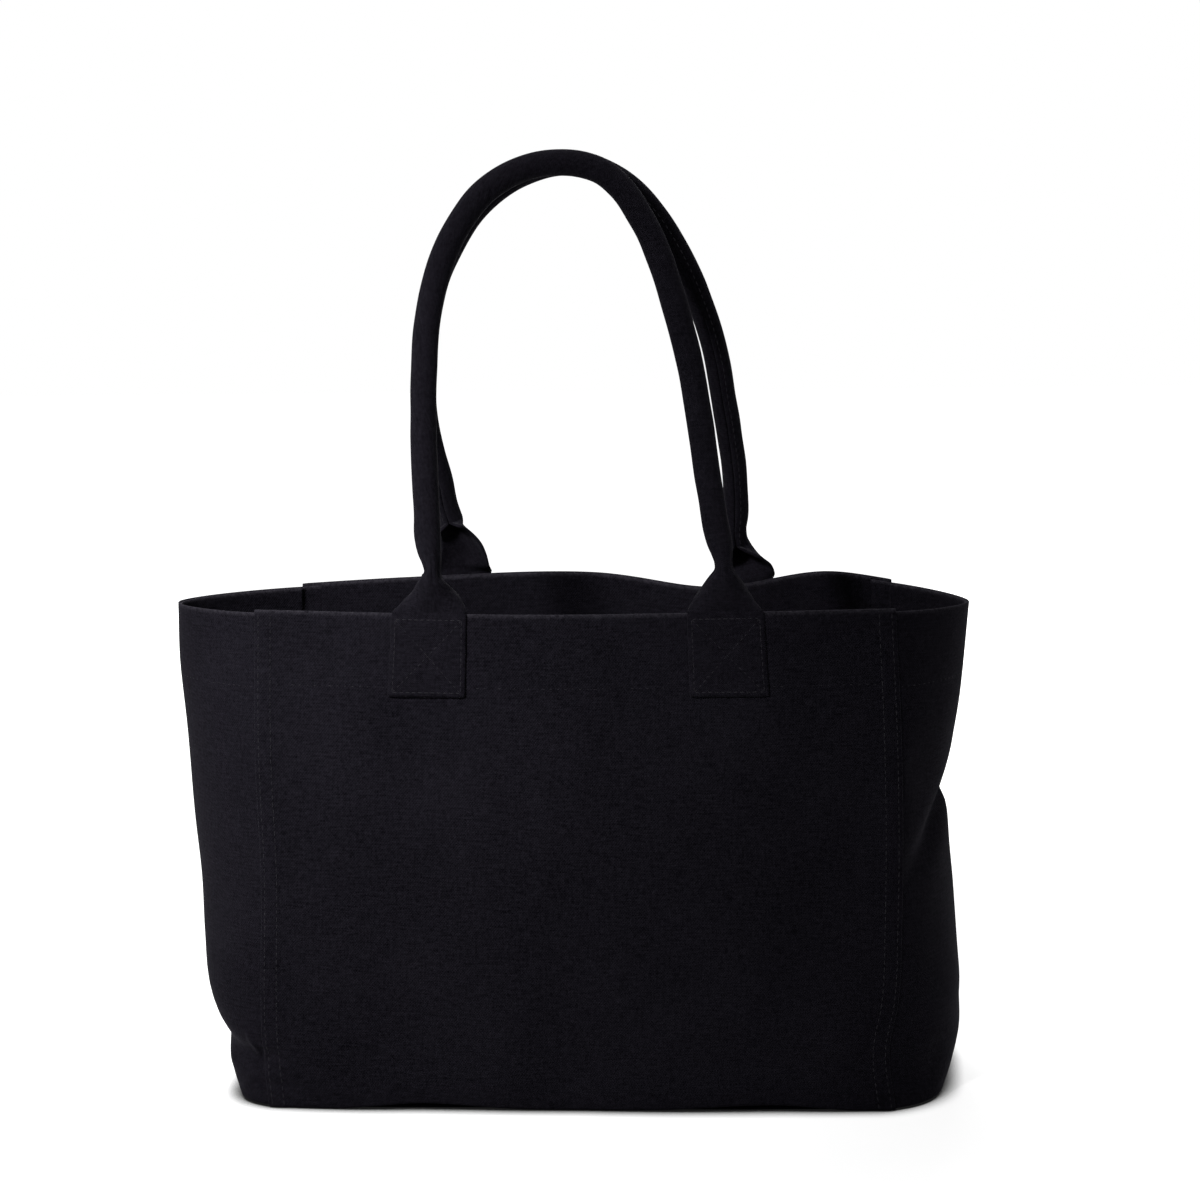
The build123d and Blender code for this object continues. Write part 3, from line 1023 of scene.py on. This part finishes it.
class HandleShape:
    steps = (0.004, 0.0002)

    def __init__(self, loop, leftTab, rightTab):
        side = loop["side"]  # -1 for the front handle and 1 for the back one
        route = np.array(loop["route"])
        crownRise = coverHigh[2] - handle["radius"] - foldHeight
        lean = atan2(foldDepth - strap["thick"] / 2 - handle["radius"], crownRise)
        self.out = np.array([0, side * cos(lean), sin(lean)])
        self.up = np.array([0, -side * sin(lean), cos(lean)])
        self.origin = np.array([0, side * foldDepth, foldHeight]) - self.out * strap["thick"] / 2
        chords = lengthsAlong(route)
        fine = np.linspace(0, chords[-1], 3000)
        curves = [smoothCurve(np.column_stack([chords, line])) for line in route.T]
        places = np.column_stack([curve(fine) for curve in curves])
        for _ in range(handle["smoothing"]):
            places[1:-1] = (places[:-2] + 2 * places[1:-1] + places[2:]) / 4
        self.places = places
        self.runs = lengthsAlong(places)
        self.length = self.runs[-1]
        self.leftNeck = smoothCurve(loop["leftNeck"])
        self.rightNeck = smoothCurve(loop["rightNeck"])
        self.leftCup = smoothCurve(loop["leftCup"])
        self.rightCup = smoothCurve(loop["rightCup"])
        self.closed = loop["closed"]
        self.noise = softNoise(loop["seed"])
        self.joins = None
        self.fitTabs(leftTab, rightTab)

    def fitTabs(self, leftTab, rightTab):
        # the strap's two ends continue the tabs that are sewn to the panel
        across = np.linspace(-1.05, 1.05, 43)
        leftGap = leftTab(across, tabTopRun) - self(across, 0 * across)
        rightGap = rightTab(-across, tabTopRun) - self(across, 0 * across + self.length)
        self.joins = (across, leftGap, rightGap)

    def centre(self, run):
        x = np.interp(run, self.runs, self.places[:, 0])
        h = np.interp(run, self.runs, self.places[:, 1])
        h, x = h[..., None], x[..., None]
        bend = handle["bend"] * h * (1 - ramp(0, handle["bendEnd"], h))
        return self.origin + self.up * h + self.out * bend + np.array([1, 0, 0]) * x

    def frameAt(self, run):
        # the strap's sections lie level near the tabs and across the route higher up
        step = 0.0008
        near = np.interp(run, self.runs, self.places[:, 1])
        ahead = self.centre(np.clip(run + step, 0, self.length))
        tangent = unit(ahead - self.centre(np.clip(run - step, 0, self.length)))
        upright = np.where((run < self.length / 2)[..., None], self.up, -self.up)
        tangent = unit(upright + (tangent - upright) * ramp(*handle["level"], near)[..., None])
        return self.centre(run), np.cross(tangent, self.out), near

    def __call__(self, side, run):
        side, run = np.broadcast_arrays(np.asarray(side, float), np.asarray(run, float))
        centre, lateral, near = self.frameAt(run)
        onLeft = run < self.length / 2
        flatHalf = tabHalf - strap["thick"] / 2
        tubeHalf = (handle["radius"] - strap["thick"] / 2) * handle["rollEnd"] * pi
        clothHalf = flatHalf + (tubeHalf - flatHalf) * ramp(*handle["gather"], near)
        half = np.where(onLeft, self.leftNeck(near), self.rightNeck(near)) - strap["thick"] / 2
        roll = np.interp(-half / clothHalf, -rollWidths, rollSteps)
        cup = np.where(onLeft, self.leftCup(near), self.rightCup(near))
        roll = np.clip(roll * cup * ramp(*handle["rollStart"], near), rollSteps[0], rollSteps[-1])
        squeeze = half / clothHalf / np.interp(roll, rollSteps, rollWidths)
        curl = clothHalf / roll
        turn = roll * side
        offside = curl * np.sin(turn) * squeeze
        bulge = 1 + handle["deepen"] * (1 - np.minimum(squeeze, 1))
        depth = curl * (np.cos(turn) - np.sin(roll) / roll) * bulge
        pleat = handle["pleat"] * np.cos(handle["pleats"] * turn + 1.2)
        pleat = pleat * np.exp(-((near - handle["pleatAt"]) / handle["pleatReach"]) ** 2)
        wobble = self.noise(run / handle["wobbleLength"], side * handle["wobbleAcross"] + 9)
        wobble = handle["wobble"] * wobble * ramp(*handle["wobbleFade"], near) + pleat
        offside = offside + wobble * np.sin(turn)
        depth = depth + wobble * np.cos(turn)
        point = centre + lateral * offside[..., None] + self.out * depth[..., None]
        if self.joins is not None:
            across, leftGap, rightGap = self.joins
            fade = 1 - ramp(0, handle["joinFade"], near)
            gaps = np.where(onLeft[..., None], pick(across, leftGap, side), pick(across, rightGap, side))
            point = point + gaps * fade[..., None]
        return point


def pick(places, values, at):
    return np.stack([np.interp(at, places, values[:, k]) for k in range(3)], -1)


frontLoop = HandleShape(frontHandle, tabShapes["front_left_tab"], tabShapes["front_right_tab"])
backLoop = HandleShape(backHandle, tabShapes["back_left_tab"], tabShapes["back_right_tab"])
loops = {"front_handle": frontLoop, "back_handle": backLoop}
foldEnd = 0.010  # metres up the strap from its fold point; the sum with it below is not used
cord = {"radius": 0.0052, "lobe": 0.0006, "turns": 26, "sides": 30, "steps": 420, "short": 0.056}


def cordMesh(name, loop):
    # three strands, twisted, inside the rolled strap
    run = np.linspace(cord["short"], loop.length - cord["short"], cord["steps"])
    centre, lateral, _ = loop.frameAt(run)
    angle = np.linspace(0, 2 * pi, cord["sides"], endpoint=False)
    twist = 2 * pi * cord["turns"] * (run - run[0]) / (run[-1] - run[0])
    radius = cord["radius"] + cord["lobe"] * np.abs(np.cos(1.5 * (angle[None] + twist[:, None])))
    ring = np.cos(angle)[None, :, None] * lateral[:, None] + np.sin(angle)[None, :, None] * loop.out
    points = centre[:, None] + ring * radius[..., None]
    index = np.arange(points.shape[0] * points.shape[1]).reshape(points.shape[:2])
    onward = np.roll(index, -1, axis=1)
    quads = np.stack([index[:-1], index[1:], onward[1:], onward[:-1]], -1).reshape(-1, 4).tolist()
    ends = [index[0].tolist(), index[-1][::-1].tolist()]
    mesh = bpy.data.meshes.new(name)
    mesh.from_pydata(points.reshape(-1, 3).tolist(), [], quads + ends)
    girth = (angle[None] + twist[:, None]) * cord["radius"]
    places = np.stack(np.broadcast_arrays(girth, run[:, None]), -1)
    finishMesh(mesh, places.reshape(-1, 2), cottonCord)
    return mesh


for body, loop in loops.items():
    low, high = handle["neckRun"], loop.length - handle["neckRun"]
    runs = np.concatenate([
        np.linspace(0, low, handle["neckRows"])[:-1],
        np.linspace(low, high, handle["tubeRows"])[:-1],
        np.linspace(high, loop.length, handle["neckRows"]),
    ])
    cols = np.linspace(-1, 1, handle["cols"])
    half = strap["thick"] / 2
    rolled = ramp(0, handle["openRun"], np.minimum(runs, loop.length - runs))[:, None]
    face = pressed(cols) * (1 - rolled) + half * rolled
    cover = slab(body + "Strap", loop, cols, runs, face, -half, strapCloth, square=("bottom", "top"))
    foldPoint = Vector(foldAt[body])
    foldPoint + Vector(loop.up) * foldEnd
    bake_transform(cover)
    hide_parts(body + "_cover")
    body + "_core"
    core = addObject(body + "Cord", cordMesh(body + "Cord", loop))
    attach(core, body)
    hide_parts(body + "_core")
print("handles made")

# Stitches: points with the thread's direction and the cloth's normal, where Geometry Nodes set capsules
stitch = {"length": 0.0032, "width": 0.00062, "rise": 0.00045, "pitch": 0.0047, "seed": 5}


def stitchTree():
    tree = bpy.data.node_groups.new("stitchRows", "GeometryNodeTree")
    face = tree.interface
    face.new_socket("Geometry", in_out="INPUT", socket_type="NodeSocketGeometry")
    kinds = {"length": "Float", "width": "Float", "rise": "Float", "seed": "Int"}
    sockets = {
        name: face.new_socket(name, in_out="INPUT", socket_type="NodeSocket" + kind).identifier
        for name, kind in kinds.items()
    }
    face.new_socket("Geometry", in_out="OUTPUT", socket_type="NodeSocketGeometry")
    sheet = NodeSheet(tree)
    points, length, width, rise, seed = (
        sheet.node("NodeGroupInput", output=name) for name in ("Geometry", *kinds)
    )
    capsule = sheet.node("GeometryNodeMeshUVSphere", None, {"Segments": 8, "Rings": 6, "Radius": 0.5})
    turn = None
    for name, axis, pivot in (("along", "X", "AUTO"), ("out", "Z", "X")):
        kind = {"data_type": "FLOAT_VECTOR"}
        way = sheet.node("GeometryNodeInputNamedAttribute", kind, {"Name": name}, "Attribute")
        turned = {"Vector": way, "Rotation": turn} if turn else {"Vector": way}
        settings = {"axis": axis, "pivot_axis": pivot}
        turn = sheet.node("FunctionNodeAlignRotationToVector", settings, turned)
    size = sheet.node("ShaderNodeCombineXYZ", None, {0: length, 1: width, 2: rise})
    vary = {2: 0.88, 3: 1.1, "Seed": seed}  # from the shortest to the longest stitch
    vary = sheet.node("FunctionNodeRandomValue", {"data_type": "FLOAT"}, vary, 1)
    size = sheet.node("ShaderNodeVectorMath", {"operation": "SCALE"}, {0: size, "Scale": vary})
    placed = {"Points": points, "Instance": capsule, "Rotation": turn, "Scale": size}
    stitches = sheet.node("GeometryNodeInstanceOnPoints", None, placed)
    stitches = sheet.node("GeometryNodeRealizeInstances", None, {0: stitches})
    stitches = sheet.node("GeometryNodeSetShadeSmooth", None, {0: stitches})
    stitches = sheet.node("GeometryNodeSetMaterial", None, {0: stitches, "Material": thread})
    sheet.node("NodeGroupOutput", None, {0: stitches})
    return tree, sockets


def sewLine(shape, start, end, lift, pitch=stitch["pitch"], sink=0):
    # evenly spaced stitches on a shape, from one (across, up) place to another
    wide, tall = end[0] - start[0], end[1] - start[1]
    share = np.linspace(0, 1, 240)
    lengths = lengthsAlong(shape(start[0] + wide * share, start[1] + tall * share))
    count = max(int(lengths[-1] / pitch), 1)
    share = np.interp((np.arange(count) + 0.5) / count * lengths[-1], lengths, share)
    across, up = start[0] + wide * share, start[1] + tall * share
    point, normal = faceAndNormal(shape, across, up)
    onward = 0.004  # the thread's direction is taken over this share of the row
    ahead = shape(across + wide * onward, up + tall * onward)
    lift = np.broadcast_to(lift(across) if callable(lift) else lift, across.shape)[:, None]
    normal = normal * np.sign(lift)
    return point + normal * (np.abs(lift) - sink), unit(ahead - point), normal


seamSewing = {
    "insets": (0.0022, 0.0102),  # the two rows along each panel edge
    "start": 0.7,  # of the way round the bottom edge
    "end": 0.002,  # below the rim
    "lift": 1e-6,  # on the outer face
    "sink": 0.42,
    "panelFoot": 0.0025,  # the facing's row above its lower edge
    "gussetFoot": 0.0005,
    "outerEnd": 0.03,
    "panelInnerEnd": 0.035,
    "gussetInnerEnd": 0.04,
}


def seamRows():
    # two rows along each panel edge, and one along the foot of the facings, outside and inside
    low, high = arcRun * seamSewing["start"], rimRun - seamSewing["end"]
    lift, sink = seamSewing["lift"], stitch["rise"] * seamSewing["sink"]
    rows = []
    for shape in (frontShape, backShape):
        for inset in seamSewing["insets"]:
            share = inset / (2 * halfWidth)
            rows.append(sewLine(shape, (share, low), (share, high), lift))
            rows.append(sewLine(shape, (1 - share, low), (1 - share, high), lift))
        foot = runAt(facingFoot) + seamSewing["panelFoot"]
        for start, end in gapsBetweenTabs(shape, foot):
            rows.append(sewLine(shape, (start, foot), (end, foot), lift, sink=sink))
        end = seamSewing["panelInnerEnd"]
        rows.append(sewLine(shape, (end, foot), (1 - end, foot), facingInner))
    for shape in (leftShape, rightShape):
        foot = runAt(facingFoot) + seamSewing["gussetFoot"]
        end = seamSewing["outerEnd"]
        rows.append(sewLine(shape, (end, foot), (1 - end, foot), lift, sink=sink))
        end = seamSewing["gussetInnerEnd"]
        rows.append(sewLine(shape, (end, foot), (1 - end, foot), facingInner))
    return rows


def gapsBetweenTabs(shape, run):
    cuts = [seamSewing["outerEnd"]]
    for tab in sorted((t for t in tabs.values() if t["shape"] is shape), key=lambda t: t["foot"]):
        cuts += [float(shape.shareAt(tab["foot"] + edge * (tabHalf + 0.001), run)) for edge in (-1, 1)]
    cuts.append(1 - seamSewing["outerEnd"])
    return list(zip(cuts[::2], cuts[1::2]))


tabSewing = {
    "side": 0.0023, "foot": 0.0031, "top": 0.0035, "pitch": 0.0038, "boxSink": 0.2, "crossSink": 0.35,
}


def tabRows():
    # a box and a cross on each tab
    rows = []
    for shape in tabShapes.values():
        edge = 1 - tabSewing["side"] / shape.half
        low = runAt(tabFoot) + tabSewing["foot"]
        high = rimRun - tabSewing["top"]
        corners = [(-edge, low), (edge, low), (edge, high), (-edge, high)]
        box = zip(corners, corners[1:] + corners[:1])
        cross = zip(corners[:2], corners[2:])
        for lines, sink in ((box, tabSewing["boxSink"]), (cross, tabSewing["crossSink"])):
            sink = sink * stitch["rise"]
            for start, end in lines:
                rows.append(sewLine(shape, start, end, pressed, tabSewing["pitch"], sink))
    return rows


loopSewing = {"inset": 0.10, "tackPitch": 0.0009, "tackLength": 0.0042, "tackAt": 0.97}


def loopRows(loop):
    # a row that closes the rolled strap, and a tack across the seam at both its ends
    top = 1 - loopSewing["inset"]
    half = strap["thick"] / 2
    first, last = loop.closed[0], loop.length - loop.closed[1]
    rows = [sewLine(loop, (top, first), (top, last), half)]
    for across in (-loopSewing["tackAt"], loopSewing["tackAt"]):
        for start in (first, last - loopSewing["tackLength"]):
            end = start + loopSewing["tackLength"]
            rows.append(sewLine(loop, (across, start), (across, end), half, loopSewing["tackPitch"]))
    return rows


tree, treeSockets = stitchTree()


def sew(name, body, rows):
    points, along, out = (np.concatenate(part) for part in zip(*rows))
    mesh = bpy.data.meshes.new(name + "Points")
    mesh.from_pydata(points.tolist(), [], [])
    for key, values in (("along", along), ("out", out)):
        mesh.attributes.new(key, "FLOAT_VECTOR", "POINT").data.foreach_set("vector", values.ravel())
    piece = addObject(name, mesh)
    modifier = piece.modifiers.new("stitches", "NODES")
    modifier.node_group = tree
    for key, identifier in treeSockets.items():
        modifier[identifier] = stitch[key]
    sewn = bpy.data.meshes.new_from_object(piece.evaluated_get(bpy.context.evaluated_depsgraph_get()))
    piece.modifiers.clear()
    piece.data = sewn
    sewn.name = name
    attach(piece, body)
    print(name, len(points), "stitches")


sew("bagStitches", "bag_body", seamRows() + tabRows())
for body, loop in loops.items():
    sew(body + "Stitches", body, loopRows(loop))

# Floor, light and camera
studio = {
    "floor": 12.0,
    "floorGrey": (0.8, 0.8, 0.8, 1),
    "floorGlow": (0.78, 1.0),  # near the bag and far from it
    "glowReach": (0.5, 1.6),
    "contact": 0.014,  # how far the painted contact shadow beside the bag's foot reaches
    "contactRange": (0.4, 0.95),
    "contactShade": (0.01, 0.01, 0.01, 1),
    "sky": 0.095,
    "key": {
        "at": (-0.76, -1.13, 1.2), "aim": (-0.26, -0.05, 0.385), "size": 0.17, "power": 126,
        "cone": 28, "blend": 0.4,
    },
    "fill": {"at": (0.7, -1.6, 0.6), "aim": (0, 0, 0.3), "size": 1.2, "power": 0.5},
    "top": {"at": (-0.25, 0.35, 2.2), "aim": (0, 0, 0), "size": 1.4, "power": 15},
    "rear": {"at": (-0.1, 2.0, 0.8), "aim": (0, 0, 0.25), "size": 1.2, "power": 18},
}


def makeFloor():
    half = studio["floor"] / 2
    corners = [(-half, -half, 0), (half, -half, 0), (half, half, 0), (-half, half, 0)]
    mesh = bpy.data.meshes.new("floor")
    mesh.from_pydata(corners, [], [(0, 1, 2, 3)])
    finish = Finish(bpy.data.materials.new("paleFloor"))
    # painted contact shadow: ambient occlusion darkens the floor's colour and glow beside the bag
    reach = {"Distance": studio["contact"]}
    clear = finish.node("ShaderNodeAmbientOcclusion", {"samples": 8}, reach, 1)
    clear = finish.remap(clear, studio["contactRange"])
    shade = studio["contactShade"]
    grey = finish.mix(clear, shade, studio["floorGrey"])
    matt = finish.node("ShaderNodeBsdfDiffuse", None, {"Color": grey})
    place = finish.node("ShaderNodeTexCoord", None, None, "Object")
    away = finish.node("ShaderNodeVectorMath", {"operation": "LENGTH"}, {0: place}, 1)
    near, far = ((level, level, level, 1) for level in studio["floorGlow"])
    colour = finish.mix(finish.remap(away, studio["glowReach"]), near, far)
    sockets = {"Color": finish.mix(clear, shade, colour), "Strength": finish.seen()}
    glow = finish.node("ShaderNodeEmission", None, sockets)
    mesh.materials.append(finish.close(finish.node("ShaderNodeAddShader", None, {0: matt, 1: glow})))
    addObject("floor", mesh)


def makeSky():
    # white where the camera sees it, and dim as a light
    finish = Finish(bpy.data.worlds.new("paleRoom"))
    strength = finish.remap(finish.seen(), target=(studio["sky"], 1))
    sockets = {"Color": (1, 1, 1, 1), "Strength": strength}
    bpy.context.scene.world = finish.close(finish.node("ShaderNodeBackground", None, sockets))


def makeLamp(name):
    lamp = studio[name]
    cone = lamp.get("cone")
    data = bpy.data.lights.new(name + "Light", "SPOT" if cone else "AREA")
    if cone:
        data.spot_size = radians(cone)
        data.spot_blend = lamp["blend"]
        data.shadow_soft_size = lamp["size"]
    else:
        data.size = lamp["size"]
    data.energy = lamp["power"]
    light = bpy.data.objects.new(name + "Light", data)
    light.location = lamp["at"]
    light.rotation_mode = "QUATERNION"
    light.rotation_quaternion = (Vector(lamp["aim"]) - Vector(lamp["at"])).to_track_quat("-Z", "Y")
    bpy.context.scene.collection.objects.link(light)


camera = {"at": (0.16709, -1.77205, 0.59594), "aim": (0.0105, 0, 0.3215), "roll": -0.9, "lens": 81.33}


def makeCamera():
    data = bpy.data.cameras.new("camera")
    data.lens = camera["lens"]
    data.sensor_width = 36
    eye = bpy.data.objects.new("camera", data)
    turn = (Vector(camera["aim"]) - Vector(camera["at"])).to_track_quat("-Z", "Y").to_matrix().to_4x4()
    roll = Matrix.Rotation(radians(camera["roll"]), 4, "Z")
    eye.matrix_world = Matrix.Translation(camera["at"]) @ turn @ roll
    bpy.context.scene.collection.objects.link(eye)
    bpy.context.scene.camera = eye


makeFloor()
makeSky()
for lampName in ("key", "fill", "top", "rear"):
    makeLamp(lampName)
makeCamera()
bpy.context.scene.view_settings.view_transform = "Standard"
print("studio made")
